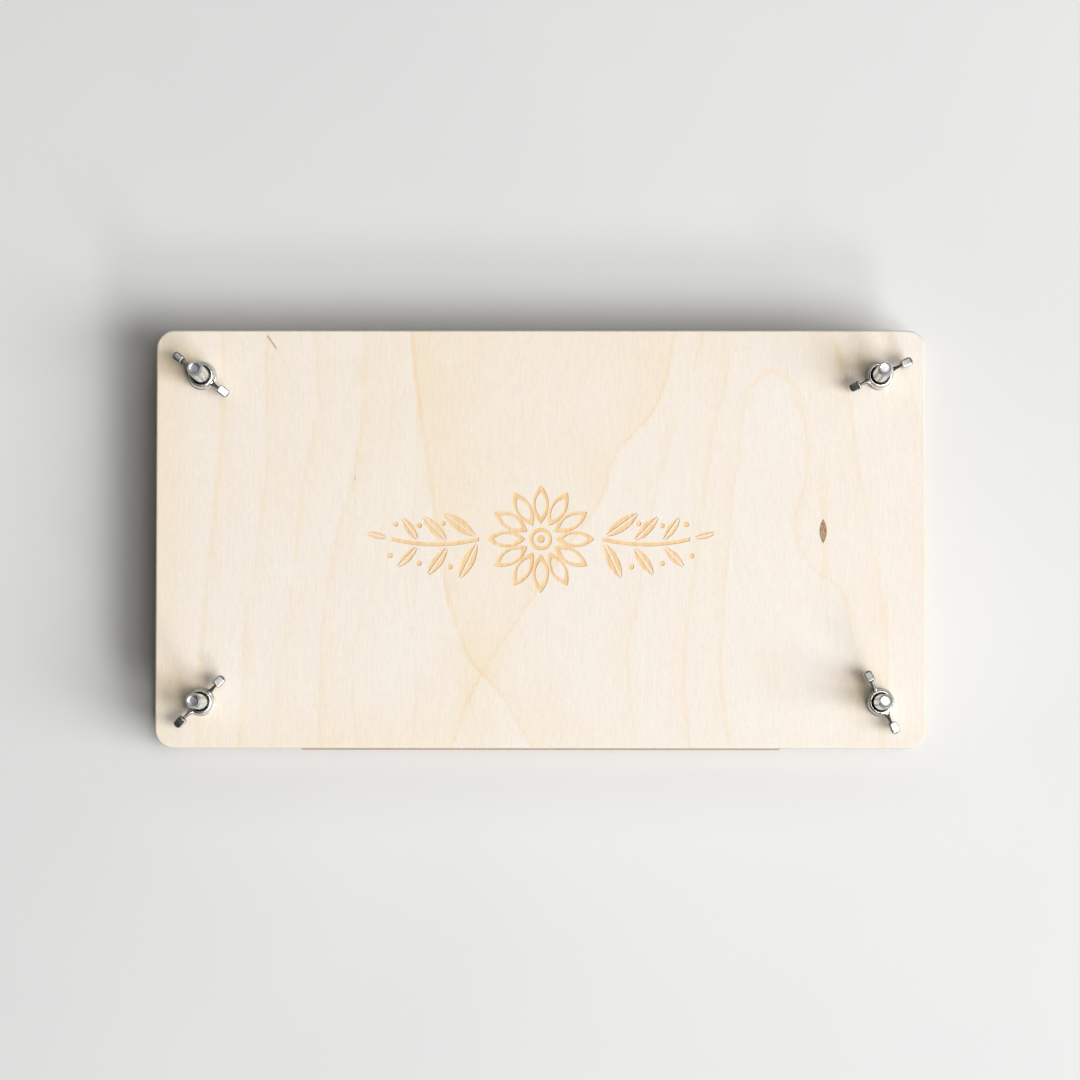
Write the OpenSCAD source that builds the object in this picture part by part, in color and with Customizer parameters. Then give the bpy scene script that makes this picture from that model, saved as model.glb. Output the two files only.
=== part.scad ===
// Flower press. Two plywood boards squeeze a stack of corrugated cards and
// blotting papers between them, drawn together by four long bolts with
// washers and wing nuts. X runs along the boards, Y from front to back, and
// Z is up from the underside of the lower board, which the press stands on.

/* [Boards] */
// Length of both boards
board_l = 300; // [270:1:330]
// Width of both boards, front to back
board_w = 163; // [150:1:180]
// Thickness of each board
board_t = 9; // [8.5:0.5:12]
// Radius of the boards' corners
corner_r = 7; // [4:0.5:10]
// Radius of the boards' sanded edges
edge_r = 0.8; // [0.4:0.1:1.5]
// Distance from the boards' edges to the bolts' axes
bolt_inset = 18; // [15:0.5:22]
// Radial room round a bolt in the boards' holes
hole_gap = 0.3; // [0.2:0.05:0.5]
// Radial room round a bolt's head in its counterbore
head_gap = 0.3; // [0.2:0.05:0.6]
// How deep the top of a bolt's head lies under the lower board's underside
head_sink = 1; // [0.5:0.1:1.4]

/* [Sheets] */
// Thickness of one corrugated card
card_t = 3; // [2:0.25:4]
// Thickness of one blotting paper
blotter_t = 0.5; // [0.3:0.05:1]
// How far the sheets stop short of the boards' ends
sheet_inset = 1; // [0.5:0.25:4]
// How far the sheets stand out at the front and at the back
sheet_proud = 0.6; // [0.3:0.1:0.9]
// Room between a bolt and the corner cut off the sheets
bolt_room = 11.4; // [6:0.2:16]

/* [Bolts] */
// Diameter of the bolts
bolt_d = 6; // [5:0.25:7]
// Length of a bolt under its head
bolt_l = 75; // [68:1:90]
// Chamfer of a bolt's end
tip_chamfer = 0.95; // [0.5:0.05:1.5]
// Diameter of a bolt's round head
head_d = 16; // [13:0.5:18]
// Height of a bolt's round head
head_h = 3.3; // [2.6:0.1:4]
// Height of the straight rim under the head's dome
head_rim = 0.8; // [0.4:0.1:1.2]
// Height of the square neck, sunk in the lower board
neck_h = 4; // [2.5:0.25:4.25]
// Room on each side of the square neck in its pocket
neck_gap = 0.05; // [0.02:0.01:0.1]

/* [Washers] */
// Thickness of a washer
washer_t = 1.6; // [1:0.1:2]
// Radial room round a bolt in a washer
washer_gap = 0.2; // [0.1:0.05:0.3]
// Width of a washer's flat ring
washer_band = 2.3; // [2:0.1:4]

/* [Wing nuts] */
// Radial running fit of a nut on its bolt
nut_gap = 0.05; // [0.02:0.01:0.08]
// Wall of the nut's boss at its foot
boss_wall = 2.2; // [2:0.1:2.8]
// How much smaller the boss's radius is at its top than at its foot
boss_taper = 0.45; // [0.3:0.05:0.55]
// Height of the boss
boss_h = 6.5; // [5.5:0.25:7.5]
// Rounding at the top of the boss
boss_round = 0.5; // [0.3:0.1:0.7]
// Countersink of the bore, measured along the radius
countersink = 0.85; // [0.5:0.05:1]
// Span over both wings
wing_span = 27; // [25:0.5:32]
// Height of the wings over the nut's foot
wing_h = 10; // [9:0.25:12]
// Thickness of a wing's finger pad
pad_t = 3.1; // [2.4:0.1:3.6]
// Length of a wing's finger pad along the span
pad_l = 4.6; // [4:0.1:5.2]
// Rounding of a finger pad's upright edges
pad_round = 1.2; // [0.6:0.1:1.4]
// Thickness of the web between boss and pad
web_t = 1.3; // [1:0.1:2]
// Angle that the back left nut is left at, from the X axis
back_left_angle = -37; // [-90:1:90]
// Angle that the back right nut is left at, from the X axis
back_right_angle = 25; // [-90:1:90]
// Angle that the front left nut is left at, from the X axis
front_left_angle = 46; // [-90:1:90]
// Angle that the front right nut is left at, from the X axis
front_right_angle = -64; // [-90:1:90]

/* [Engraving] */
// Depth of the engraved motif
art_depth = 0.3; // [0.2:0.05:0.6]
// Outer radius of the daisy in the middle
daisy_r = 21; // [16:0.5:24]
// Radius of the daisy's eye
eye_r = 4.4; // [3:0.2:5.4]
// Width of one petal
petal_w = 6.4; // [4:0.2:7]
// Width of the engraved lines
line_w = 1.5; // [1:0.1:1.8]
// Radius of the arc that each sprig's stem follows
stem_r = 70; // [60:1:90]
// Length of the longest leaf
leaf_l = 16; // [12:0.5:18]
// Length of the leaf at each sprig's tip
leaf_tip_l = 9; // [7:0.5:11]
// Width of the longest leaf
leaf_w = 4.8; // [4:0.2:5.2]
// Distance along the stem from one pair of leaves to the next
leaf_step = 11.4; // [10.5:0.1:13]
// Width of the vein left standing in a leaf
vein_w = 0.6; // [0.4:0.1:0.8]

/* [Hidden] */
// Corners of the press: name, side in X, side in Y, and the angle its wing nut is left at
corners = [
    ["back_left", -1, 1, back_left_angle],
    ["back_right", 1, 1, back_right_angle],
    ["front_left", -1, -1, front_left_angle],
    ["front_right", 1, -1, front_right_angle]
];

// Places for flowers, each between two blotting papers
layer_count = 5;
card_count = layer_count + 1;
blotter_count = 2 * layer_count;

$fn = 96;

// How far a cutting shape runs past the face that it opens
overrun = 1;

bolt_r = bolt_d / 2;
bolt_x = board_l / 2 - bolt_inset;
bolt_y = board_w / 2 - bolt_inset;
hole_r = bolt_r + hole_gap;

// Heights, from the underside of the lower board up
seat_z = head_sink + head_h;
stack_z = board_t;
layer_t = card_t + 2 * blotter_t;
top_z = stack_z + layer_count * layer_t + card_t;
washer_z = top_z + board_t;
nut_z = washer_z + washer_t;

// Outline of the sheets, an oblong with its corners cut off clear of the bolts
sheet_x = board_l / 2 - sheet_inset;
sheet_y = board_w / 2 + sheet_proud;
sheet_cut = sheet_x + sheet_y - bolt_x - bolt_y + sqrt(2) * (bolt_r + bolt_room);

// Wing nut
bore_r = bolt_r + nut_gap;
boss_r = bore_r + boss_wall;
pad_x = wing_span / 2 - pad_l / 2;
pad_z = wing_h - pad_l / 2;
// Foot of a wing's pad, as shares of the pad's place
pad_foot_x_share = 0.9;
pad_foot_z_share = 0.52;
// Where the web leaves the boss, as shares of the boss's height
web_low_share = 0.12;
web_high_share = 0.8;
// How far the web reaches under the pad's foot, as a share of the pad's length
web_dip_share = 0.33;

// Engraving: the daisy's petals, then one sprig, whose stem sags from end to end
petal_count = 12;
petal_start = eye_r + line_w;
petal_l = daisy_r - petal_start;
// Outlined petals are hollow, by this share of their length and width
petal_hollow_share = 0.64;
eye_dot_share = 0.36;
leaf_pairs = 3;
leaf_lean = 50;
// Each pair of leaves is shorter than the one before it by this share
leaf_taper_share = 0.14;
// Leaves start clear of the stem, and berries lie part of a leaf's length out
leaf_start = line_w;
berry_r = 0.7 * line_w;
berry_reach_share = 0.7;
berry_step_share = 0.5;
stem_start = daisy_r + 2 * line_w;
stem_run = leaf_pairs * leaf_step;
stem_half_angle = asin(stem_run / 2 / stem_r);
stem_sag = stem_r * (1 - cos(stem_half_angle));

// Half the section of a board's edge: width w from the axis, rounded top and bottom
module edge_section(w) {
    square([w - edge_r, board_t]);
    translate([0, edge_r]) square([w, board_t - 2 * edge_r]);
    for (z = [edge_r, board_t - edge_r]) {
        translate([w - edge_r, z]) circle(edge_r);
    }
}

// A slab of length l along Y and width w in X, with its two long edges rounded
module rounded_slab(w, l) {
    translate([0, l / 2, 0]) rotate([90, 0, 0]) linear_extrude(l) {
        edge_section(w / 2);
        mirror([1, 0]) edge_section(w / 2);
    }
}

// A board with rounded corners and sanded edges, standing on Z = 0
module board_blank() {
    rounded_slab(board_l, board_w - 2 * corner_r);
    rotate([0, 0, 90]) rounded_slab(board_w, board_l - 2 * corner_r);
    for (sx = [-1, 1], sy = [-1, 1]) {
        translate([sx * (board_l / 2 - corner_r), sy * (board_w / 2 - corner_r), 0])
            rotate_extrude() edge_section(corner_r);
    }
}

module at_bolt(c) {
    translate([c[1] * bolt_x, c[2] * bolt_y, 0]) children();
}

module bottom_board() {
    color("burlywood") difference() {
        board_blank();
        for (c = corners) at_bolt(c) {
            translate([0, 0, -overrun]) cylinder(r = hole_r, h = board_t + 2 * overrun);
            translate([0, 0, -overrun]) cylinder(r = head_d / 2 + head_gap, h = seat_z + overrun);
            neck(neck_gap, overrun);
        }
    }
}

module top_board() {
    color("wheat") difference() {
        translate([0, 0, top_z]) board_blank();
        for (c = corners) at_bolt(c) {
            translate([0, 0, top_z - overrun]) cylinder(r = hole_r, h = board_t + 2 * overrun);
        }
        engraving();
    }
}

// Square neck of a bolt, larger by gap on each side and reaching down by extra
module neck(gap, extra) {
    side = bolt_d + 2 * gap;
    translate([-side / 2, -side / 2, seat_z - extra]) cube([side, side, neck_h + extra]);
}

// Carriage bolt: domed head with a rim, square neck, shank with a chamfered end
module bolt() {
    dome_h = head_h - head_rim;
    dome_r = (pow(head_d / 2, 2) + pow(dome_h, 2)) / (2 * dome_h);
    color("silver") {
        translate([0, 0, head_sink]) rotate_extrude() {
            translate([0, dome_h]) square([head_d / 2, head_rim]);
            intersection() {
                translate([0, dome_r]) circle(dome_r, $fn = 4 * $fn);
                square([head_d / 2, dome_h]);
            }
        }
        neck(0, 0);
        translate([0, 0, seat_z]) cylinder(r = bolt_r, h = bolt_l - tip_chamfer);
        translate([0, 0, seat_z + bolt_l - tip_chamfer])
            cylinder(r1 = bolt_r, r2 = bolt_r - tip_chamfer, h = tip_chamfer);
    }
}

module washer() {
    inner_r = bolt_r + washer_gap;
    color("gainsboro") translate([0, 0, washer_z]) difference() {
        cylinder(r = inner_r + washer_band, h = washer_t);
        translate([0, 0, -overrun]) cylinder(r = inner_r, h = washer_t + 2 * overrun);
    }
}

// Side view of one wing: a slanting pad with round ends, and its web to the boss
module pad_outline() {
    foot = [pad_x * pad_foot_x_share, pad_z * pad_foot_z_share];
    lean = atan2(pad_z - foot[1], pad_x - foot[0]);
    reach = norm([pad_x, pad_z] - foot);
    translate(foot) {
        circle(pad_l / 2);
        rotate(lean) translate([0, -pad_l / 2]) square([reach, pad_l]);
    }
    translate([pad_x, pad_z]) circle(pad_l / 2);
}

module web_outline() {
    inner = bore_r + boss_wall / 2;
    polygon([
        [inner, boss_h * web_low_share],
        [pad_x * pad_foot_x_share, pad_z * pad_foot_z_share - pad_l * web_dip_share],
        [pad_x, pad_z],
        [inner, boss_h * web_high_share]
    ]);
}

module upright(t) {
    translate([0, t / 2, 0]) rotate([90, 0, 0]) linear_extrude(t) children();
}

module wing() {
    upright(web_t) web_outline();
    intersection() {
        upright(pad_t) pad_outline();
        linear_extrude(wing_h) {
            translate([0, -pad_t / 2]) square([wing_span / 2 - pad_round, pad_t]);
            translate([0, pad_round - pad_t / 2]) square([wing_span / 2, pad_t - 2 * pad_round]);
            for (s = [-1, 1]) translate([wing_span / 2 - pad_round, s * (pad_t / 2 - pad_round)]) circle(pad_round);
        }
    }
}

// Half the section of the boss: it narrows upwards and has a rounded top
module boss_section() {
    top_r = boss_r - boss_taper;
    polygon([[0, 0], [boss_r, 0], [top_r, boss_h - boss_round], [top_r - boss_round, boss_h], [0, boss_h]]);
    translate([top_r - boss_round, boss_h - boss_round]) circle(boss_round);
}

// Wing nut, standing on the washer and turned by the given angle
module wing_nut(turn) {
    color("darkgray") translate([0, 0, nut_z]) rotate([0, 0, turn]) difference() {
        union() {
            rotate_extrude() boss_section();
            wing();
            rotate([0, 0, 180]) wing();
        }
        translate([0, 0, -overrun]) cylinder(r = bore_r, h = wing_h + 2 * overrun);
        translate([0, 0, boss_h - countersink])
            cylinder(r1 = bore_r, r2 = bore_r + countersink + overrun, h = countersink + overrun);
    }
}

// A sheet of thickness t with its underside at height z
module sheet(z, t) {
    translate([0, 0, z]) linear_extrude(t) polygon([
        for (s = [[1, -1], [1, 1], [-1, 1], [-1, -1]])
            let (side = [s[0] * sheet_x, s[1] * (sheet_y - sheet_cut)])
            let (end = [s[0] * (sheet_x - sheet_cut), s[1] * sheet_y])
            each (s[0] * s[1] < 0 ? [end, side] : [side, end])
    ]);
}

module card(i) {
    color("peru") sheet(stack_z + (i - 1) * layer_t, card_t);
}

// Blotting papers lie in pairs, one on each side of a place for flowers
module blotter(i) {
    layer = ceil(i / 2) - 1;
    color("ivory") sheet(stack_z + layer * layer_t + card_t + (i + 1) % 2 * blotter_t, blotter_t);
}

// Leaf shape between two arcs, from the origin along +X
module lens(l, w) {
    arc_r = (pow(l, 2) + pow(w, 2)) / (4 * w);
    intersection_for(s = [-1, 1]) translate([l / 2, s * (arc_r - w / 2)]) circle(arc_r, $fn = 2 * $fn);
}

module petal() {
    difference() {
        lens(petal_l, petal_w);
        translate([petal_l * (1 - petal_hollow_share) / 2, 0])
            lens(petal_l * petal_hollow_share, petal_w * petal_hollow_share);
    }
}

// Leaf in two halves, with a vein left standing between them
module leaf(l) {
    w = leaf_w * l / leaf_l;
    for (side = [0, 1]) mirror([0, side]) intersection() {
        lens(l, w);
        translate([0, vein_w / 2]) square([l, w]);
    }
}

module daisy() {
    difference() {
        circle(eye_r);
        circle(eye_r - line_w);
    }
    circle(eye_r * eye_dot_share);
    for (i = [1:petal_count]) rotate(i * 360 / petal_count) translate([petal_start, 0]) petal();
}

// Places its children on the stem's centre line, at angle a from its lowest point
module on_stem(a) {
    translate([stem_start + stem_run / 2, stem_r - stem_sag]) rotate(a) translate([0, -stem_r]) children();
}

module stem() {
    translate([stem_start + stem_run / 2, stem_r - stem_sag]) intersection() {
        difference() {
            circle(stem_r + line_w / 2, $fn = 4 * $fn);
            circle(stem_r - line_w / 2, $fn = 4 * $fn);
        }
        translate([-stem_run / 2, -stem_r - line_w]) square([stem_run, stem_r]);
    }
}

// Leaves in pairs along the stem, a berry on each side after each pair, and a leaf at the tip
module sprig() {
    stem();
    step = 2 * stem_half_angle / leaf_pairs;
    for (i = [0:leaf_pairs - 1], side = [-1, 1]) {
        l = leaf_l * (1 - leaf_taper_share * i);
        on_stem(step * i - stem_half_angle) rotate(side * leaf_lean) translate([leaf_start, 0]) leaf(l);
        on_stem(step * (i + berry_step_share) - stem_half_angle)
            rotate(side * leaf_lean) translate([l * berry_reach_share, 0]) circle(berry_r);
    }
    on_stem(stem_half_angle) translate([leaf_start, 0]) leaf(leaf_tip_l);
}

module engraving() {
    translate([0, 0, washer_z - art_depth]) linear_extrude(art_depth + overrun) {
        daisy();
        sprig();
        mirror([1, 0]) sprig();
    }
}

bottom_board();
top_board();
for (c = corners) {
    at_bolt(c) bolt();
    at_bolt(c) washer();
    at_bolt(c) wing_nut(c[3]);
}
for (i = [1:card_count]) {
    card(i);
}
for (i = [1:blotter_count]) {
    blotter(i);
}
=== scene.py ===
"""Looks of the flower press: pale birch plywood boards with an engraved daisy and sprigs, threaded bolts,
washers and cast wing nuts, and the corrugated cards and blotting papers between the boards."""
import math

import bpy
import numpy as np
from mathutils import Matrix, Vector


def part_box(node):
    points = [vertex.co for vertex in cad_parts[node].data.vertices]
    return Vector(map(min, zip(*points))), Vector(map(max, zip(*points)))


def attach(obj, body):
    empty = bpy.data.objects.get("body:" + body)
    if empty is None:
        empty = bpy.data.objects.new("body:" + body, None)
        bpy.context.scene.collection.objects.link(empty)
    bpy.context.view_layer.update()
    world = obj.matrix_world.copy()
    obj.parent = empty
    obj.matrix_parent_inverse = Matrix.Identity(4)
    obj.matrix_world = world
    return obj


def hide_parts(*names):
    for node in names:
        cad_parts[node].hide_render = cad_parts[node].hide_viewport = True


MM = 0.001

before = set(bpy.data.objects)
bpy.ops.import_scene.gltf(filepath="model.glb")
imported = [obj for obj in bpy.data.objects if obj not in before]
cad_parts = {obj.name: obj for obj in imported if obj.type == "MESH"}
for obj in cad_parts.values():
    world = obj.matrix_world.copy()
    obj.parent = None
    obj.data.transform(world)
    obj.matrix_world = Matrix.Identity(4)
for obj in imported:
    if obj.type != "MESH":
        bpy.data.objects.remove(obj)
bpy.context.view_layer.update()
scene = bpy.context.scene


# Sizes from the CAD nodes, in millimetres

def span(node):
    """Lowest and highest corner of a CAD node, to the nearest thousandth."""
    return [[round(value / MM, 3) for value in corner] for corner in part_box(node)]


board_low, board_high = span("top_board")
BOARD_L, BOARD_W = board_high[0] - board_low[0], board_high[1] - board_low[1]
TOP_Z, FACE_Z = board_low[2], board_high[2]
STACK_Z = span("bottom_board")[1][2]
bolt_low, bolt_high = span("bolt_back_right")
BOLT_X, BOLT_Y = (bolt_low[0] + bolt_high[0]) / 2, (bolt_low[1] + bolt_high[1]) / 2
HEAD_R = (bolt_high[0] - bolt_low[0]) / 2
HEAD_Z, TIP_Z = bolt_low[2], bolt_high[2]
washer_low, washer_high = span("washer_back_right")
WASHER_R = (washer_high[0] - washer_low[0]) / 2
WASHER_T = washer_high[2] - washer_low[2]
NUT_Z = washer_high[2]
card_low, card_high = span("card_1")
SHEET_X, SHEET_Y = card_high[:2]
CARD_T = card_high[2] - card_low[2]
BLOTTER_T = span("blotter_1")[1][2] - card_high[2]
CARD_COUNT = sum(node.startswith("card_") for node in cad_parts)

# Sizes that no node's box gives, as in the CAD part
BOLT_R = 3.0
BOLT_CHAMFER = 0.95
WASHER_BORE_R = 3.2
SHEET_CUT = 56.0
ENGRAVING_DEPTH = 0.3
# Corner of the press, side in X, side in Y, and the angle that its wing nut is left at
CORNERS = [("back_left", -1, 1, -37), ("back_right", 1, 1, 25),
           ("front_left", -1, -1, 46), ("front_right", 1, -1, -64)]


# Camera and light

def aim_camera():
    """Long lens almost straight above the press, turned by a small angle about an axis close to X."""
    data = bpy.data.cameras.new("camera")
    data.sensor_width = 36
    data.lens = 155.2
    data.clip_start, data.clip_end = 0.05, 50
    camera = bpy.data.objects.new("camera", data)
    place = Vector((0.01666, -0.08034, 1.8529))
    turn = Vector((0.0441, 0.0093, 0.0007))
    camera.matrix_world = Matrix.Translation(place) @ Matrix.Rotation(turn.length, 4, turn)
    scene.collection.objects.link(camera)
    scene.camera = camera


def softbox(name, place, width, height, power):
    """Rectangular lamp at a place, turned to face the middle of the press's foot."""
    data = bpy.data.lights.new(name, "AREA")
    data.shape = "RECTANGLE"
    data.size, data.size_y, data.energy = width, height, power
    lamp = bpy.data.objects.new(name, data)
    lamp.location = place
    lamp.rotation_euler = (-Vector(place)).to_track_quat("-Z", "Y").to_euler()
    scene.collection.objects.link(lamp)


def light_studio():
    """A large softbox from the right, weaker ones lower on the right, at the front, behind and overhead."""
    softbox("window_softbox", (1.10, -0.59, 2.39), 1.21, 1.14, 49)
    softbox("side_softbox", (2.04, -0.66, 1.82), 1.34, 1.15, 32)
    softbox("front_softbox", (1.36, -2.34, 2.49), 0.82, 0.82, 33)
    softbox("back_panel", (0.1, 1.15, 2.2), 3.2, 1.0, 9)
    softbox("ceiling_fill", (0.28, 0.0, 2.36), 0.4, 0.4, 8.5)
    world = bpy.data.worlds.new("studio")
    scene.world = world
    world.use_nodes = True
    sky = world.node_tree.nodes["Background"]
    sky.inputs["Color"].default_value = (1.0, 0.96, 0.84, 1)
    sky.inputs["Strength"].default_value = 0.03
    scene.view_settings.view_transform = "Standard"


# Shader values

class Wire:
    """An output of a shader node. Sums and products of wires that carry numbers add Math nodes."""

    def __init__(self, socket):
        self.socket = socket
        self.tree = socket.id_data

    def maths(self, operation, *others, clamp=False):
        """What a Math node gives for this value and the others."""
        node = self.tree.nodes.new("ShaderNodeMath")
        node.operation, node.use_clamp = operation, clamp
        for socket, value in zip(node.inputs, (self, *others)):
            feed(socket, value)
        return Wire(node.outputs[0])

    def __add__(self, other):
        return self.maths("ADD", other)

    def __sub__(self, other):
        return self.maths("SUBTRACT", other)

    def __rsub__(self, other):
        return self.maths("MULTIPLY_ADD", -1, other)

    def __mul__(self, other):
        return self.maths("MULTIPLY", other)

    def __truediv__(self, other):
        return self.maths("DIVIDE", other)

    def __neg__(self):
        return self.maths("MULTIPLY", -1)

    def absolute(self):
        return self.maths("ABSOLUTE")

    def exponent(self):
        return self.maths("EXPONENT")

    def smooth(self, low, high, start=0.0, end=1.0):
        """Goes smoothly from start to end while this value goes from low to high."""
        values = {0: self, 1: low, 2: high, 3: start, 4: end}
        node = add(self.tree, "ShaderNodeMapRange", values, interpolation_type="SMOOTHSTEP")
        return Wire(node.outputs[0])


def feed(socket, value):
    """Links a wire to an input, or sets the input to a number, vector or colour."""
    if isinstance(value, Wire):
        value.tree.links.new(value.socket, socket)
    else:
        socket.default_value = value


def add(tree, kind, values=None, **settings):
    """A node with its settings, whose inputs are fed with the values."""
    node = tree.nodes.new(kind)
    for key, value in settings.items():
        setattr(node, key, value)
    for key, value in (values or {}).items():
        feed(node.inputs[key], value)
    return node


def bell(ratio):
    """Soft ridge: e to the power of minus the square of the ratio."""
    return (-(ratio * ratio)).exponent()


def centred(value, reach):
    """A value from 0 to 1, moved so that it swings about 0 by the reach to each side."""
    return value * (2 * reach) - reach


def blend_colour(share, a, b):
    """Colour a where the share is 0, and b where it is 1. A Mix node takes its colours at inputs 6 and 7,
    and gives one at output 2."""
    values = {0: share, 6: a, 7: b}
    return Wire(add(share.tree, "ShaderNodeMix", values, data_type="RGBA", blend_type="MIX").outputs[2])


def noise(place, scale, detail=2.0, roughness=0.5):
    """Noise from 0 to 1 at a place: the larger the scale, the finer it is."""
    values = {"Vector": place, "Scale": scale, "Detail": detail, "Roughness": roughness}
    return Wire(add(place.tree, "ShaderNodeTexNoise", values).outputs[0])


def vectors(operation, a, b=(0, 0, 0)):
    """Vector that an operation on two vectors gives."""
    return Wire(add(a.tree, "ShaderNodeVectorMath", {0: a, 1: b}, operation=operation).outputs["Vector"])


def measure(operation, a, b=(0, 0, 0)):
    """Number that an operation on two vectors gives, such as a distance or a dot product."""
    return Wire(add(a.tree, "ShaderNodeVectorMath", {0: a, 1: b}, operation=operation).outputs["Value"])


def scaled(vector, factor):
    values = {0: vector, "Scale": factor}
    return Wire(add(vector.tree, "ShaderNodeVectorMath", values, operation="SCALE").outputs["Vector"])


def stretched(place, x, y, z):
    return vectors("MULTIPLY", place, (x, y, z))


def axes_of(vector):
    """X, Y and Z of a vector."""
    return [Wire(output) for output in add(vector.tree, "ShaderNodeSeparateXYZ", {0: vector}).outputs]


def new_group(name, inputs, outputs):
    """Empty shader node group, from its inputs' start values by name and its outputs' names. Gives its
    inputs as wires by name, and the sockets that its outputs are fed through."""
    tree = bpy.data.node_groups.new(name, "ShaderNodeTree")
    for key, value in inputs.items():
        kind = "NodeSocketVector" if isinstance(value, tuple) else "NodeSocketFloat"
        tree.interface.new_socket(name=key, in_out="INPUT", socket_type=kind).default_value = value
    for key in outputs:
        tree.interface.new_socket(name=key, in_out="OUTPUT", socket_type="NodeSocketFloat")
    take = tree.nodes.new("NodeGroupInput").outputs
    give = tree.nodes.new("NodeGroupOutput").inputs
    return tree, {key: Wire(take[key]) for key in inputs}, give


def use_group(tree, group, values):
    """The group placed in a tree, fed with the values. Gives its outputs as wires by name."""
    node = add(tree, "ShaderNodeGroup", node_tree=group)
    for key, value in values.items():
        feed(node.inputs[key], value)
    return {output.name: Wire(output) for output in node.outputs}


def new_material(name):
    """A material, its shader, and the place on the object in millimetres."""
    material = bpy.data.materials.new(name)
    material.use_nodes = True
    tree = material.node_tree
    place = Wire(add(tree, "ShaderNodeTexCoord").outputs["Object"])
    return material, tree.nodes["Principled BSDF"], scaled(place, 1 / MM)


def dress(shader, colour, rough, height, strength, depth):
    """Gives the shader its colour and roughness, and a bump from a height map of that depth in metres."""
    feed(shader.inputs["Base Color"], colour)
    feed(shader.inputs["Roughness"], rough)
    values = {"Height": height, "Strength": strength, "Distance": depth}
    feed(shader.inputs["Normal"], Wire(add(height.tree, "ShaderNodeBump", values).outputs[0]))


# Patterns that materials share

def build_growth_line():
    """Mask of one growth line: a soft ridge where X meets the line's place, and a wide faint halo on one
    side of it. Away is the distance along X from the line's place."""
    group, take, give = new_group("growth_line", {
        "X": 0.0, "Share": 0.0, "Width": 0.6, "Halo": 8.0, "Side": 1.0, "Strength": 1.0}, ["Mask", "Away"])
    away = take["X"] - (take["Share"] * BOARD_L - BOARD_L / 2)
    ridge = bell(away / take["Width"])
    side = away * take["Side"]
    halo = (-side / take["Halo"]).exponent() * side.smooth(-0.8, 0.8, 0.0, 0.5)
    feed(give["Mask"], ridge.maths("MAXIMUM", halo) * take["Strength"])
    feed(give["Away"], away)
    return group


def build_mark():
    """Mask of a straight mark, such as a scratch: how near a point lies to the line from start to end."""
    group, take, give = new_group("straight_mark", {
        "Place": (0, 0, 0), "Start": (0, 0, 0), "End": (1, 0, 0), "Width": 0.3}, ["Mask"])
    run = vectors("SUBTRACT", take["End"], take["Start"])
    out = vectors("SUBTRACT", take["Place"], take["Start"])
    along = measure("DOT_PRODUCT", out, run).maths("DIVIDE", measure("DOT_PRODUCT", run, run), clamp=True)
    gap = measure("DISTANCE", out, scaled(run, along))
    feed(give["Mask"], bell(gap / take["Width"]))
    return group


def build_fibres():
    """Wood fibres that run along Y: long streaks and short hair-fine ones, dark pores where the noise is
    high, and a slow mottle."""
    group, take, give = new_group("wood_fibres", {"Place": (0, 0, 0), "Fineness": 1.0},
                                  ["Streaks", "Hairs", "Pores", "Mottle"])
    place, fine = take["Place"], take["Fineness"]
    feed(give["Streaks"], noise(stretched(place, 0.9, 0.03, 0.9), fine, 4.0, 0.62))
    feed(give["Hairs"], noise(stretched(place, 2.4, 0.22, 2.4), fine, 3.0, 0.6))
    feed(give["Pores"], noise(stretched(place, 3.2, 0.3, 3.2), fine, 1.0, 0.5).smooth(0.66, 0.8))
    feed(give["Mottle"], noise(stretched(place, 0.05, 0.03, 0.05), fine, 3.0, 0.55))
    return group


def build_zinc_grain():
    """Grain of zinc, plated or cast: a cloud of lighter and darker metal, small pits four times as fine,
    and the distance from the nearest bolt's axis, which places the bolts' dark cut ends and the nuts'
    painted shade."""
    group, take, give = new_group("zinc_grain", {"Place": (0, 0, 0), "Grain": 0.4},
                                  ["Cloud", "Pits", "Ring"])
    place, grain = take["Place"], take["Grain"]
    feed(give["Cloud"], noise(place, grain, 4.0, 0.6))
    feed(give["Pits"], noise(place, grain * 4, 2.0, 0.5).smooth(0.3, 0.7))
    corner = vectors("SUBTRACT", vectors("ABSOLUTE", place), (BOLT_X, BOLT_Y, 0))
    feed(give["Ring"], measure("LENGTH", stretched(corner, 1, 1, 0)))
    return group


GROWTH_LINE = build_growth_line()
MARK = build_mark()
FIBRES = build_fibres()
ZINC_GRAIN = build_zinc_grain()


# Plywood

BACK = BOARD_W / 2
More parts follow.
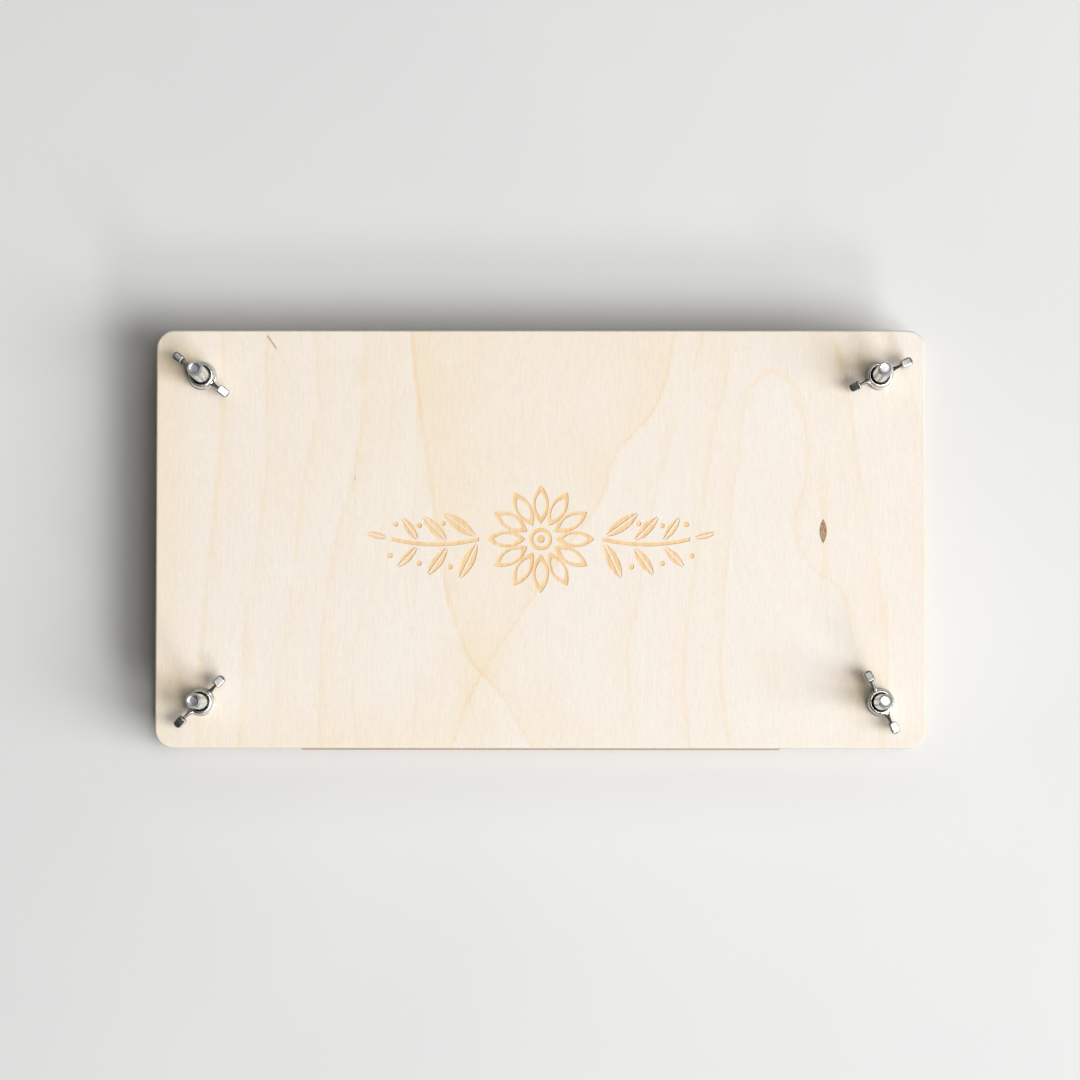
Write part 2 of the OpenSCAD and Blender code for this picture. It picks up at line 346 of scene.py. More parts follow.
# Growth lines of the face veneer: strength, ridge width, halo reach and side, and the line as places
# (Y, X) in millimetres from the board's middle, back to front
GROWTH_LINES = [
    (0.75, 0.9, 9, 1, [
        (BACK, -124.3), (45, -124.0), (10, -127), (-32, -131), (-BACK, -133.5)]),
    (0.80, 0.7, 12, 1, [
        (BACK, -106.6), (54, -106.7), (27, -107), (5, -109.2), (-16, -112), (-31, -115), (-55, -115.8),
        (-BACK, -117)]),
    (0.65, 0.8, 10, 1, [
        (BACK, -88), (54, -87), (34, -89.5), (15, -93), (-10, -96), (-32, -98), (-51, -101.6),
        (-BACK, -105)]),
    (0.85, 0.7, 12, 1, [
        (BACK, -68.4), (54, -68.8), (27, -72.3), (11, -76.3), (-5, -80.6), (-28, -84), (-51, -85.6),
        (-BACK, -85)]),
    (0.55, 0.6, 8, 1, [
        (BACK, -58), (-20, -66), (-40, -72.4), (-55, -73.5), (-BACK, -71.5)]),
    (0.70, 0.6, 7, 1, [
        (BACK, -46), (0, -50), (-22, -52), (-40, -49.4), (-57, -48), (-72, -49), (-BACK, -49.5)]),
    (1.5, 0.8, 22, 1, [
        (BACK, -50.2), (60, -48), (44, -46), (25, -43), (0, -39.5), (-24, -35.4), (-36, -31.5),
        (-49, -25.7), (-59, -16), (-69, -10), (-BACK, -3)]),
    (1.25, 0.8, 18, -1, [
        (BACK, 52.3), (70, 50.5), (56, 46.5), (44, 38.6), (33, 29), (17, 23.8), (-5, 9), (-24, -4.2),
        (-36, -12), (-47, -19.8), (-57, -25.6), (-70, -30.7), (-BACK, -35)]),
    (0.70, 0.7, 8, -1, [
        (BACK, 63), (58, 57), (46, 52.3), (33, 49.2), (23, 46.4), (0, 41), (-28, 36.7), (-43, 33.6),
        (-59, 34.7), (-BACK, 37)]),
    (0.75, 0.7, 9, -1, [
        (BACK, 73.8), (60, 71.8), (39, 66.7), (15, 63.5), (-28, 58.1), (-51, 56.2), (-BACK, 58.3)]),
    (0.80, 0.8, 9, -1, [
        (58, 81.5), (44, 78), (25, 75.7), (5.5, 73.7), (-16, 72.1), (-33, 70.6), (-51, 69.8),
        (-68.6, 71.8), (-BACK, 74)]),
    (0.80, 0.8, 6, 1, [
        (58, 99), (42.5, 103), (22, 103.6), (15, 101), (9, 99.4), (3, 99.8), (-4.3, 101.4),
        (-9.7, 104.9), (-14, 108.8), (-16.8, 113.4), (-18.7, 116.6), (-24, 118.3), (-40, 121.2),
        (-55, 123.2), (-BACK, 122.8)]),
    (0.85, 0.8, 12, -1, [
        (BACK, 112), (67.8, 117.3), (54, 120.4), (34.7, 122.4), (15.2, 126.3), (8.6, 127.9),
        (-2.7, 129.2), (-17.5, 131.8), (-33.5, 134.1), (-53, 134.5), (-BACK, 133.5)]),
    (0.75, 1.0, 10, -1, [
        (BACK, 135), (60, 143.8), (38.6, 148.5), (25, 149.7), (-20, 150), (-BACK, 150)]),
]
# The two lines of the list above that cross near the front
CROSSING = (6, 7)
# How far to each side of its start a line sets in, where it starts short of the back edge
LINE_FADE = 6
RIDGE_WIDENING = 1.3
# The arch of grain: its crown, how fast it falls away from there, the width of its ridge, and the
# places in Y between which it sets in
ARCH_X, ARCH_Y, ARCH_FALL, ARCH_RIDGE = 90.5, 65.5, 0.085, 1.3
ARCH_START, ARCH_END = 50.0, 60.0
# The knot: its place, and its half sizes across and along the grain
KNOT_X, KNOT_Y, KNOT_WIDE, KNOT_TALL = 110.0, 3.1, 1.45, 4.9
# Warm spots of the face: place, half sizes and strength
WARM_SPOTS = [
    (91, -51, 7, 8, 0.2), (-25, 55, 5, 4, 0.18), (-70, 65, 3, 5, 0.25), (110, 14, 1.6, 16, 0.35),
    (110, -10, 1.4, 16, 0.3), (-150, 0, 14, 120, 0.44), (-23, -66, 9, 22, 0.24), (-25, -40, 12, 12, 0.16),
    (-95, 60, 75, 52, 0.12), (-5, 48, 62, 46, 0.08), (75, 85, 90, 20, 0.16), (-85, -85, 60, 20, 0.26),
    (100, -84, 30, 8, 0.08)]
# Painted shade of each nut on the wood, warm and soft, up and to the left of it: offset from the bolt, half
# sizes and strength
NUT_SHADE_X, NUT_SHADE_Y, NUT_SHADE_WIDE, NUT_SHADE_TALL, NUT_SHADE_STRENGTH = -9, 6, 9, 8, 0.55
# Straight marks on the face: start, end and width
STAIN = ((-106.6, 79.2, 0), (-103.4, 74.6, 0), 0.34)
TICK = ((-72.4, 24.4, 0), (-72.3, 23.1, 0), 0.22)
SCRATCH = ((-103.4, 74.6, 0), (-92.6, 54.9, 0), 0.2)
PLY_COUNT = 7
# The face veneer gives way to the plies between these two depths
VENEER_DEPTH, PLY_DEPTH = 1.15, 1.35
# Half the length and width of the field that the engraving lies in
ENGRAVED_X, ENGRAVED_Y = 80.0, 40.0


def line_place(across, places):
    """The line's X as a share of the board's length, from a curve over the share of the board's width."""
    node = add(across.tree, "ShaderNodeFloatCurve", {"Value": across})
    curve = node.mapping.curves[0]
    ordered = sorted((y / BOARD_W + 0.5, x / BOARD_L + 0.5) for y, x in places)
    for end, point in ((0, ordered[0]), (1, ordered[-1])):
        curve.points[end].location = point
    for point in ordered[1:-1]:
        curve.points.new(*point)
    node.mapping.update()
    return Wire(node.outputs[0])


def soft_spot(x, y, spot_x, spot_y, wide, tall):
    """Round or oval mask that fades outwards from a spot, with half sizes wide and tall."""
    dx, dy = (x - spot_x) / wide, (y - spot_y) / tall
    return (-(dx * dx + dy * dy)).exponent()


def straight_mark(place, start, end, width):
    values = {"Place": place, "Start": start, "End": end, "Width": width}
    return use_group(place.tree, MARK, values)["Mask"]


def warm_spots_and_nut_shade():
    """The face's own warm spots, and a painted warm shade beside each bolt, where its nut's shadow falls.
    """
    nut_shades = [(side_x * BOLT_X + NUT_SHADE_X, side_y * BOLT_Y + NUT_SHADE_Y, NUT_SHADE_WIDE, NUT_SHADE_TALL,
               NUT_SHADE_STRENGTH) for _, side_x, side_y, _ in CORNERS]
    return WARM_SPOTS + nut_shades


def build_veneer():
    """Rotary-cut birch: growth lines that lean and cross, an arch of grain, a knot, and marks on the face.
    Gives the veneer's tint, from 0 (pale) to 1 (a growth line), and the masks of the knot, its rim, the
    stain and the scratch."""
    group, take, give = new_group("face_veneer", {"Place": (0, 0, 0)},
                                  ["Tint", "Knot", "Rim", "Stain", "Scratch"])
    place = take["Place"]
    true_x, y, _ = axes_of(place)
    waver = noise(stretched(place, 0.09, 0.05, 0), 1.0, 3.0, 0.5)
    feather = noise(stretched(place, 0.75, 0.05, 0), 1.0, 4.0, 0.65)
    x = true_x + centred(waver, 0.8) + centred(feather, 2.5)
    across = y / BOARD_W + 0.5
    fade = noise(stretched(place, 0.05, 0.03, 0), 1.0, 2.0, 0.5).smooth(0.3, 0.62, 0.3, 0.64)
    masks, aways = [], []
    for strength, width, halo, side, places in GROWTH_LINES:
        level = fade * strength
        start = places[0][0]
        if start < BACK:
            level = level * y.smooth(start + LINE_FADE, start - LINE_FADE)
        line = use_group(group, GROWTH_LINE, {
            "X": x, "Share": line_place(across, places), "Width": width * RIDGE_WIDENING, "Halo": halo,
            "Side": side, "Strength": level})
        masks.append(line["Mask"])
        aways.append(line["Away"])
    # The arch is a parabola, whose distance is set right by its own slope
    off = x - ARCH_X
    drop = ARCH_Y - off * off * ARCH_FALL - y
    slope = off * (2 * ARCH_FALL)
    arch = bell(drop / (slope * slope + 1.0).maths("SQRT") / ARCH_RIDGE)
    tint = arch * y.smooth(ARCH_START, ARCH_END, 0.0, 0.45)
    for mask in masks:
        tint = tint.maths("MAXIMUM", mask)
    # Warm ground between the two lines that cross near the front, on both sides of the crossing
    between = -(aways[CROSSING[0]] * aways[CROSSING[1]])
    tint = tint + between.smooth(-50.0, 700.0, 0.0, 0.1)
    # The warm spots, and the painted shade beside each nut, add to the tint
    for *spot, strength in warm_spots_and_nut_shade():
        tint = tint + soft_spot(x, y, *spot) * strength
    feed(give["Tint"], tint.maths("MINIMUM", 1.0))
    # The knot is a lens, whose half width shrinks with the square of the height along the grain
    along = (y - KNOT_Y) / KNOT_TALL
    lens = 1.0 - along * along - (true_x - KNOT_X).absolute() / KNOT_WIDE
    feed(give["Knot"], lens.smooth(-0.08, 0.14))
    feed(give["Rim"], lens.smooth(0.42, 0.06))
    flat = stretched(place, 1, 1, 0)
    tick = straight_mark(flat, *TICK) * 0.7
    feed(give["Stain"], straight_mark(flat, *STAIN).maths("MAXIMUM", tick))
    feed(give["Scratch"], straight_mark(flat, *SCRATCH))
    return group


VENEER = build_veneer()


def face_colour(place, veneer, fibres):
    """Colour of the face veneer: a mottled pale ground, growth lines, fibres, pores, knot and marks."""
    pale, warm, line = (0.735, 0.685, 0.632, 1), (0.73, 0.65, 0.565, 1), (0.72, 0.585, 0.40, 1)
    colour = blend_colour(fibres["Mottle"].smooth(0.3, 0.75) * 0.3, pale, warm)
    colour = blend_colour(veneer["Tint"], colour, line)
    colour = blend_colour(fibres["Streaks"].smooth(0.34, 0.66, 0.0, 0.15), colour, line)
    hairs = fibres["Hairs"].smooth(0.3, 0.7, 0.96, 1.022)
    crumb = noise(place, 1.3, 2.0, 0.6).smooth(0.3, 0.7, 0.976, 1.016)
    # Painted shade: the face is made a little darker from left to right, against the lamps' stronger light
    # on the right
    shade_drift = 0.982 - axes_of(place)[0] * 0.00018
    colour = scaled(colour, hairs * crumb * shade_drift)
    colour = blend_colour(fibres["Pores"] * 0.16, colour, (0.5, 0.38, 0.26, 1))
    fleck = noise(place, 1.6, 3.0).smooth(0.4, 0.62)
    knot = blend_colour(fleck, (0.42, 0.28, 0.17, 1), (0.2, 0.11, 0.06, 1))
    knot = blend_colour(veneer["Rim"], knot, (0.24, 0.13, 0.07, 1))
    colour = blend_colour(veneer["Knot"], colour, knot)
    colour = blend_colour(veneer["Stain"] * 0.8, colour, (0.42, 0.16, 0.05, 1))
    return blend_colour(veneer["Scratch"] * 0.3, colour, (0.6, 0.6, 0.58, 1))


def ply_colour(place, crumbs, low, high):
    """Colour of the sides: plies alternately along X and along Y, so that end grain and long grain take
    turns, with a dark line of glue between them."""
    ply = (axes_of(place)[2] - low) / ((high - low) / PLY_COUNT)
    odd = ply.maths("FLOOR").maths("MODULO", 2.0)
    normal_x, normal_y, _ = axes_of(Wire(add(place.tree, "ShaderNodeNewGeometry").outputs["Normal"]))
    facing_y = normal_y.absolute().maths("GREATER_THAN", normal_x.absolute())
    end_grain = (facing_y - odd).absolute()
    end = blend_colour(crumbs.smooth(0.35, 0.65), (0.52, 0.36, 0.2, 1), (0.64, 0.47, 0.29, 1))
    lengths = noise(stretched(place, 0.12, 0.12, 3.5), 1.0, 4.0, 0.6)
    long = blend_colour(lengths.smooth(0.3, 0.7), (0.70, 0.58, 0.42, 1), (0.78, 0.69, 0.55, 1))
    glue = (0.5 - (ply.maths("FRACT") - 0.5).absolute()).smooth(0.09, 0.02, 0.0, 0.75)
    return blend_colour(glue, blend_colour(end_grain, long, end), (0.26, 0.16, 0.08, 1))


def engraved(place, high):
    """Mask of the engraved floors, a little under the upper face and inside the engraving's field."""
    x, y, z = axes_of(place)
    under = high - z
    cut = under.smooth(0.02, 0.12) * under.smooth(ENGRAVING_DEPTH + 0.2, ENGRAVING_DEPTH + 0.1)
    return cut * x.absolute().maths("LESS_THAN", ENGRAVED_X) * y.absolute().maths("LESS_THAN", ENGRAVED_Y)


def plywood(name, low, high, turn):
    """Birch plywood from height low to height high: face veneer on both faces, plies on the sides, and a
    light tan scorch on engraved floors. The veneer's grain is turned by an angle about Z."""
    material, shader, place = new_material(name)
    z = axes_of(place)[2]
    turning = add(place.tree, "ShaderNodeMapping", {"Vector": place, "Rotation": (0, 0, turn)})
    grain_place = Wire(turning.outputs[0])
    veneer = use_group(place.tree, VENEER, {"Place": grain_place})
    fibres = use_group(place.tree, FIBRES, {"Place": grain_place})
    crumbs = noise(place, 2.2, 3.0, 0.7)
    inside = (z - low).maths("MINIMUM", high - z).smooth(VENEER_DEPTH, PLY_DEPTH)
    colour = blend_colour(inside, face_colour(place, veneer, fibres), ply_colour(place, crumbs, low, high))
    light_tan, tan = (0.72, 0.53, 0.31, 1), (0.66, 0.44, 0.22, 1)
    scorch = blend_colour(fibres["Streaks"].smooth(0.35, 0.65), light_tan, tan)
    colour = blend_colour(engraved(place, high), colour, scorch)
    rough = fibres["Streaks"].smooth(0.2, 0.8, 0.52, 0.66) + inside * 0.15
    height = fibres["Streaks"] * 0.6 - fibres["Pores"] * 0.5 + inside * crumbs * 0.6 - veneer["Knot"] * 0.8
    dress(shader, colour, rough, height, 0.25, 0.0001)
    shader.inputs["Specular IOR Level"].default_value = 0.35
    return material


# Metal

# The cut end of a bolt, bare steel painted darker still as shade, lies within this radius, and no deeper
# than this under the bolt's tip
CUT_END_R, CUT_END_DEPTH = 1.9, 0.35
BARE_STEEL_AND_SHADE = (0.24, 0.24, 0.25, 1)
# A nut is painted with shade out to the first radius, round its bore, and on its webs between the other two
BORE_SHADE_R, WEB_SHADE_START, WEB_SHADE_END = 3.9, 5.3, 8.7
NUT_HOLLOW_SHADE = (0.05, 0.045, 0.04, 1)


def zinc(name, dark, light, rough, grain, depth, cut_end=False, hollow_shade=False):
    """Zinc, plated or cast: cloudy grey metal, whose roughness follows the cloud, with small pits. With a
    cut end, the middle of the bolt's upper end is bare steel, painted darker still as shade for the dim
    room that it mirrors. With hollow shade, a nut is painted dark next to its bolt and on its webs, as
    shade that falls there."""
    material, shader, place = new_material(name)
    surface = use_group(place.tree, ZINC_GRAIN, {"Place": place, "Grain": grain})
    cloud, pits, ring = surface["Cloud"], surface["Pits"], surface["Ring"]
    colour = blend_colour(cloud.smooth(0.35, 0.65), dark, light)
    if cut_end:
        # Painted shade: the bare cut end is made darker than steel, standing in for the dim room that it
        # mirrors
        foot = TIP_Z - CUT_END_DEPTH
        end = axes_of(place)[2].smooth(foot - 0.05, foot + 0.05)
        end = end * ring.smooth(CUT_END_R + 0.05, CUT_END_R - 0.05)
        colour = blend_colour(end * 0.92, colour, BARE_STEEL_AND_SHADE)
    if hollow_shade:
        # Painted shade: dark round the bore and on the webs, where shadow falls between nut and bolt
        bore = ring.smooth(BORE_SHADE_R + 0.06, BORE_SHADE_R - 0.06, 0.0, 0.85)
        webs = ring.smooth(WEB_SHADE_START - 0.2, WEB_SHADE_START + 0.2, 0.0, 0.75)
        webs = webs * ring.smooth(WEB_SHADE_END + 0.2, WEB_SHADE_END - 0.2)
        colour = blend_colour(bore.maths("MAXIMUM", webs), colour, NUT_HOLLOW_SHADE)
    dress(shader, colour, cloud.smooth(0.3, 0.7, *rough), pits * 0.4 + cloud, 0.5, depth)
    shader.inputs["Metallic"].default_value = 1.0
    return material


# Card and paper

def kraft_card():
    """Brown kraft card: fibre flecks over a warm brown, with slow changes of shade."""
    material, shader, place = new_material("corrugated_card")
    fleck = noise(place, 1.4, 4.0, 0.7)
    cloud = noise(place, 0.05, 3.0, 0.5)
    colour = blend_colour(fleck.smooth(0.3, 0.7), (0.335, 0.258, 0.18, 1), (0.445, 0.36, 0.262, 1))
    colour = blend_colour(cloud.smooth(0.3, 0.7, 0.0, 0.35), colour, (0.395, 0.298, 0.2, 1))
    dress(shader, colour, fleck.smooth(0.2, 0.8, 0.78, 0.92), fleck, 0.35, 0.0001)
    shader.inputs["Specular IOR Level"].default_value = 0.25
    return material


def blotting_paper():
    """Thick absorbent paper: off-white with a soft cotton grain."""
    material, shader, place = new_material("blotting_paper")
    cotton = noise(place, 0.9, 4.0, 0.65)
    colour = blend_colour(cotton.smooth(0.3, 0.7), (0.74, 0.71, 0.64, 1), (0.83, 0.81, 0.76, 1))
    dress(shader, colour, cotton.smooth(0.2, 0.8, 0.86, 0.96), cotton, 0.4, 0.00015)
    shader.inputs["Specular IOR Level"].default_value = 0.2
    return material


def tabletop():
    """Smooth pale grey table."""
    material, shader, place = new_material("tabletop")
    cloud = noise(place, 0.004, 3.0, 0.5)
    colour = blend_colour(cloud.smooth(0.3, 0.7), (0.6, 0.603, 0.6, 1), (0.625, 0.627, 0.622, 1))
    feed(shader.inputs["Base Color"], colour)
    shader.inputs["Roughness"].default_value = 0.8
    shader.inputs["Specular IOR Level"].default_value = 0.2
    return material


# Surfaces

def joined(index, above):
    """Four-sided faces between each loop of point numbers and the loop above it."""
    faces = np.stack([index, np.roll(index, -1, 1), np.roll(above, -1, 1), above], -1)
    return faces.reshape(-1, 4)


def closed_skin(points):
    """Rows of points, each row a loop: neighbouring rows are joined by four-sided faces, and the first
    and last rows are closed by a fan to their own middle."""
    rows, cols, _ = points.shape
    index = np.arange(rows * cols).reshape(rows, cols)
    first, last = index[0], index[-1]
    low = np.stack([np.roll(first, -1), first, np.full(cols, rows * cols)], -1)
    high = np.stack([last, np.roll(last, -1), np.full(cols, rows * cols + 1)], -1)
    ends = np.stack([points[0].mean(0), points[-1].mean(0)])
    points = np.concatenate([points.reshape(-1, 3), ends])
    return points, joined(index[:-1], index[1:]), np.concatenate([low, high])


def ring_skin(points):
    """Rows of points that form a ring both ways: each row joins the next, and the last joins the first."""
    rows, cols, _ = points.shape
    index = np.arange(rows * cols).reshape(rows, cols)
    return points.reshape(-1, 3), joined(index, np.roll(index, -1, 0)), np.zeros((0, 3), int)


def full_circle(steps):
    """Angles of evenly spaced points round a circle."""
    return np.arange(steps) * 2 * np.pi / steps


def upright(radius, height, angle):
    """Points at a radius and height, and at an angle about Z. Each of them may vary by row and column."""
    parts = np.broadcast_arrays(radius * np.cos(angle), radius * np.sin(angle), height)
    return np.stack(parts, -1)


def turned(radius, height, steps):
    """Points of a turned shape: radius and height for each row, the same all round."""
    return upright(radius[:, None], height[:, None], full_circle(steps))


def rounded(corners, steps=6):
    """Closed outline through corners (place, place, radius). Each corner is a quadratic curve with the
    corner as its handle, between the points where an arc of that radius would touch both sides."""
    spots = np.array([corner[:2] for corner in corners], float)
    share = np.linspace(0, 1, steps)[:, None]
    curves = []
    for here, before, after, corner in zip(spots, np.roll(spots, 1, 0), np.roll(spots, -1, 0), corners):
        back = (before - here) / np.linalg.norm(before - here)
        ahead = (after - here) / np.linalg.norm(after - here)
        reach = corner[2] / np.tan(np.arccos(np.clip(back @ ahead, -1, 1)) / 2)
        start, end = here + back * reach, here + ahead * reach
        curves.append(start * (1 - share) ** 2 + here * 2 * share * (1 - share) + end * share ** 2)
    return np.concatenate(curves)


def swell(share):
    """Quarter of a circle: rises steeply from 0 where the share is 0, and levels off at 1 where it is 1."""
    return np.sqrt(1 - (1 - np.clip(share, 0, 1)) ** 2)


def placed(skin, angle, shift):
    """A skin turned by an angle in degrees about Z, and then shifted."""
    points, quads, tris = skin
    turn = np.array(Matrix.Rotation(math.radians(angle), 3, "Z"))
    return points @ turn.T + np.array(shift, float), quads, tris


def make_piece(name, skins, material, body, crease):
    """One object from several closed skins, which are in millimetres, smooth apart from creases sharper
    than an angle in degrees. It rides on a body, and takes the material that it is given."""
    starts = np.cumsum([0] + [len(points) for points, _, _ in skins[:-1]])
    points = np.concatenate([points for points, _, _ in skins]) * MM
    quads = np.concatenate([quads + start for (_, quads, _), start in zip(skins, starts)])
    tris = np.concatenate([tris + start for (_, _, tris), start in zip(skins, starts)])
    mesh = bpy.data.meshes.new(name)
    mesh.from_pydata(points.tolist(), [], quads.tolist() + tris.tolist())
    mesh.polygons.foreach_set("use_smooth", np.ones(len(mesh.polygons), bool))
    mesh.set_sharp_from_angle(angle=math.radians(crease))
    mesh.materials.append(material)
    mesh.update()
    piece = bpy.data.objects.new(name, mesh)
    scene.collection.objects.link(piece)
    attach(piece, body)
    return piece


def bolt_skin():
    """Carriage bolt, turned about Z: domed head, square neck, rolled thread and a cupped, chamfered end.
    The dome is part of a sphere. On the neck the radius follows a square. On the thread it swings between
    root and crest, as a cosine of the height less the share of a turn, so that the crests form a helix."""
    steps = 32
    angle = full_circle(steps)
    # Head, crown down: the dome's sphere, then its rim as places (distance in from the side, height
    # above the crown)
    sphere_r, dome_end, head_t, neck_foot_r = 14.05, HEAD_R - 0.3, 3.3, 4.6
    dome_r = np.linspace(0.6, dome_end, 12)
    dome_z = sphere_r - np.sqrt(sphere_r ** 2 - dome_r ** 2)
    rim_in, rim_z = np.array([(0.14, 2.42), (0.04, 2.52), (0, 2.65), (0, 3.08), (0.07, 3.22),
                              (0.25, head_t), (2.0, head_t), (HEAD_R - neck_foot_r, head_t)]).T
    head_r = np.concatenate([dome_r, HEAD_R - rim_in])
    head = turned(head_r, HEAD_Z + np.concatenate([dome_z, rim_z]), steps)
    # Neck: a square as wide as the bolt, with its corners cut off
    seat_z = HEAD_Z + head_t
    neck_top, corner_reach = seat_z + 4.0, 4.05
    square = np.minimum(BOLT_R / np.maximum(np.abs(np.cos(angle)), np.abs(np.sin(angle))), corner_reach)
    neck = upright(square, np.array([seat_z, seat_z + 0.05, neck_top - 0.2, neck_top])[:, None], angle)
    # Shank and thread, whose depth grows from nothing over the run-out
    thread_foot, run_out, pitch = 11.5, 2.0, 1.0
    shank_r, root_r, thread_depth = 2.66, 2.55, 0.42
    height = np.concatenate([[neck_top, neck_top + 0.1, thread_foot - 0.5],
                             np.arange(thread_foot, TIP_Z, pitch / 8), [TIP_Z]])[:, None]
    wave = 0.5 - 0.5 * np.cos(2 * np.pi * height / pitch - angle)
    start = np.clip((height - thread_foot) / run_out, 0, 1)
    radius = shank_r + start * (root_r + thread_depth * wave - shank_r)
    chamfer = np.maximum(height - (TIP_Z - BOLT_CHAMFER), 0)
    shank = upright(np.minimum(radius, BOLT_R - chamfer), height, angle)
    # Shallow cup in the end, as places (radius, depth)
    cup_r, cup_depth = np.array([(2.0, 0.01), (1.93, 0.04), (1.86, 0.1), (1.78, 0.13), (1.64, 0.15),
                                 (1.3, 0.17), (0.7, 0.18), (0.25, 0.18)]).T
    cup = turned(cup_r, TIP_Z - cup_depth, steps)
    return closed_skin(np.concatenate([head, neck, shank, cup]))


def washer_skin():
    """Stamped washer: a flat ring, rounded more on the upper outer edge than below."""
    # Corners of the section: radius, height, and how far each is rounded
    section = rounded([(WASHER_BORE_R, 0, 0.1), (WASHER_R, 0, 0.12), (WASHER_R, WASHER_T, 0.35),
                       (WASHER_BORE_R, WASHER_T, 0.2)])
    return ring_skin(turned(section[:, 0], section[:, 1], 72))


def boss_skin():
    """Boss of the wing nut: a ring that narrows a little upwards, with a steeply countersunk bore."""
    bore_r, foot_r, top_r, sink_r, boss_t = BOLT_R + 0.06, 5.25, 4.8, 3.95, 6.5
    # Corners of the section: radius, height, and how far each is rounded
    section = rounded([(bore_r, 0, 0.1), (foot_r, 0, 0.25), (top_r, boss_t, 0.75), (sink_r, boss_t, 0.1),
                       (3.5, 5.2, 0.1), (bore_r, 4.9, 0.05)])
    return ring_skin(turned(section[:, 0], section[:, 1], 72))


def wing_skin():
    """One wing, out along X: rounded-off oblong loops across X. Their lower and upper heights follow the
    side view, a web that climbs to a pad with a nearly flat, outward-sloping top and an outer side that
    slants back down to the web. Their width grows from the web to the pad and closes in a rounded end."""
    web_start, web_end, pad_end, tip = 4.0, 8.3, 12.3, 13.5
    round_end = tip - 1.1 * (1 - np.sin(np.linspace(0.1, np.pi / 2, 14)))
    x = np.concatenate([np.linspace(web_start, web_end, 16), np.linspace(web_end + 0.1, 9.6, 22),
                        np.linspace(9.75, pad_end, 12), round_end])
    # Upper height: the web's slope, then a quarter circle up to the pad, which drops off at the tip
    on_web = x - (web_start + 0.15)
    web_top, web_low = 5.0 + 0.36 * on_web, 0.8 + 0.287 * on_web
    pad_top = 9.95 - 0.25 * np.maximum(x - 9.5, 0) - 0.9 * (1 - swell(tip - x))
    top = web_top + (pad_top - web_top) * swell((x - 8.7) / 0.7)
    # Lower height: the web's underside, the round foot of the pad, and the slanted outer side
    foot_x, foot_z, foot_r, slant_x = 10.08, 4.0, 2.3, 12.1
    foot = foot_z - np.sqrt(np.maximum(foot_r ** 2 - (x - foot_x) ** 2, 0))
    low = np.where(x > 8.6, np.minimum(foot, web_low), web_low)
    low = np.where(x > slant_x, np.maximum(low, 2.85 + (x - slant_x) * 3.55), low)
    low = np.minimum(low, top - 0.15)
    # Half the width: a fillet at the boss, the thin web, and the pad, which closes at the tip
    half = 0.42 + 2.2 * np.exp((web_start - x) / 1.1) + 1.25 * swell((x - 8.65) / 0.6)
    half = half * np.sqrt(np.clip(1 - (np.maximum(x - 12.2, 0) / 1.35) ** 2, 0.01, 1))
    edge = np.minimum(np.minimum(0.65, 0.85 * half), (top - low) * 0.45)[:, None]
    # Each loop has a quarter circle of that radius at each of its four corners
    corner_steps = 6
    quarter = np.linspace(0, np.pi / 2, corner_steps)
    angle = np.concatenate([quarter + corner * np.pi / 2 for corner in range(4)])
    sign_y = np.repeat([1, -1, -1, 1], corner_steps)
    upper = np.repeat([1, 1, 0, 0], corner_steps)
    y = sign_y * (half[:, None] - edge) + edge * np.cos(angle)
    z = np.where(upper, top[:, None] - edge, low[:, None] + edge) + edge * np.sin(angle)
    return closed_skin(np.stack(np.broadcast_arrays(x[:, None], y, z), -1))


def slab_skin(x, low, high, inset=0.0):
    """Sheet-shaped slab: at each X it runs between two heights, front to back as far as the outline with
    its cut-off corners allows."""
    x, low, high = np.broadcast_arrays(x, low, high)
    reach = SHEET_Y - inset - np.maximum(np.abs(x) - (SHEET_X - SHEET_CUT), 0)
    corners = [(-reach, low), (reach, low), (reach, high), (-reach, high)]
    return closed_skin(np.stack([np.stack([x, y, z], -1) for y, z in corners], 1))


def card_skins(base):
    """Corrugated card: two flat liners, and between them a medium whose height is a sine of X, so that the
    flutes run from front to back and show at the edges."""
    liner, medium, pitch = 0.32, 0.22, 6.4
    end_inset, side_inset = 0.4, 0.25
    bend = SHEET_X - SHEET_CUT
    flat = np.array([-SHEET_X, -bend, bend, SHEET_X])
    x = np.linspace(-SHEET_X + end_inset, SHEET_X - end_inset, 601)
    swing = (CARD_T - 2 * liner - medium) / 2
    wave = base + CARD_T / 2 + swing * np.sin(2 * np.pi * x / pitch)
    return [slab_skin(flat, base, base + liner),
            slab_skin(x, wave - medium / 2, wave + medium / 2, side_inset),
            slab_skin(flat, base + CARD_T - liner, base + CARD_T)]


# The press

def dress_boards():
    """Plywood on both boards. The lower one's veneer is turned half round, so that the two don't match."""
    boards = (("top_board", TOP_Z, FACE_Z, 0.0), ("bottom_board", 0.0, STACK_Z, math.pi))
    for node, low, high, turn in boards:
        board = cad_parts[node]
        board.data.materials.clear()
        board.data.materials.append(plywood("plywood_" + node, low, high, turn))


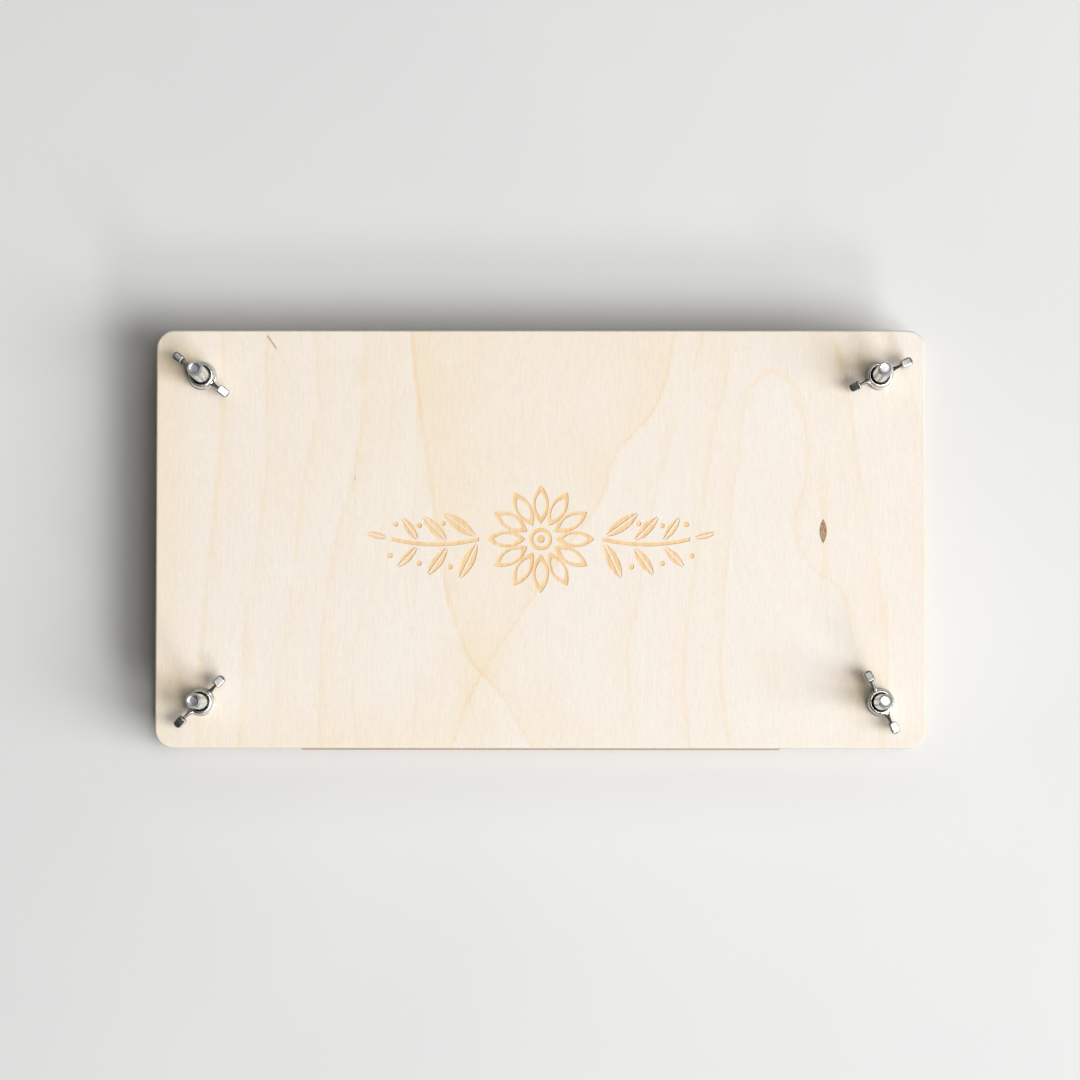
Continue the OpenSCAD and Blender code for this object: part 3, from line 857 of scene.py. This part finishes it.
def make_fasteners():
    """A threaded bolt, a stamped washer and a cast wing nut at each corner."""
    bolt_metal = zinc("bolt_steel", (0.84, 0.84, 0.82, 1), (0.95, 0.95, 0.93, 1), (0.26, 0.38), 0.5,
                      0.00003, cut_end=True)
    washer_metal = zinc("washer_zinc", (0.5, 0.5, 0.47, 1), (0.62, 0.62, 0.59, 1), (0.3, 0.45), 0.4,
                        0.00005)
    nut_metal = zinc("wing_nut_zinc", (0.52, 0.52, 0.5, 1), (0.68, 0.68, 0.65, 1), (0.2, 0.3), 0.35,
                     0.00006, hollow_shade=True)
    for corner, side_x, side_y, angle in CORNERS:
        x, y = side_x * BOLT_X, side_y * BOLT_Y
        skins = [placed(bolt_skin(), 0, (x, y, 0))]
        bolt = make_piece("threaded_bolt_" + corner, skins, bolt_metal, "base", 35)
        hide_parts("bolt_" + corner)
        skins = [placed(washer_skin(), 0, (x, y, FACE_Z))]
        washer = make_piece("stamped_washer_" + corner, skins, washer_metal, "top_board", 35)
        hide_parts("washer_" + corner)
        node = "wing_nut_" + corner
        seat = (x, y, NUT_Z)
        skins = [placed(boss_skin(), angle, seat), placed(wing_skin(), angle, seat),
                 placed(wing_skin(), angle + 180, seat)]
        nut = make_piece("cast_" + node, skins, nut_metal, node, 50)
        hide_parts(node)


def make_stack():
    """Corrugated cards, with two blotting papers between each card and the next."""
    card_stock = kraft_card()
    for number in range(1, CARD_COUNT + 1):
        node = f"card_{number}"
        base = STACK_Z + (number - 1) * (CARD_T + 2 * BLOTTER_T)
        card = make_piece("fluted_" + node, card_skins(base), card_stock, node, 30)
        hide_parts(node)
    paper_stock = blotting_paper()
    for number in range(1, 2 * CARD_COUNT - 1):
        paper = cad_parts[f"blotter_{number}"]
        paper.data.materials.clear()
        paper.data.materials.append(paper_stock)


def lay_table():
    """Table top, wide enough to fill low views, and a hair under the press so that the faces stay apart."""
    side, gap = 24, 0.0002
    bpy.ops.mesh.primitive_plane_add(size=side, location=(0, 0, -gap))
    table = bpy.context.object
    table.name = "table"
    table.data.materials.append(tabletop())


aim_camera()
light_studio()
dress_boards()
make_fasteners()
make_stack()
lay_table()
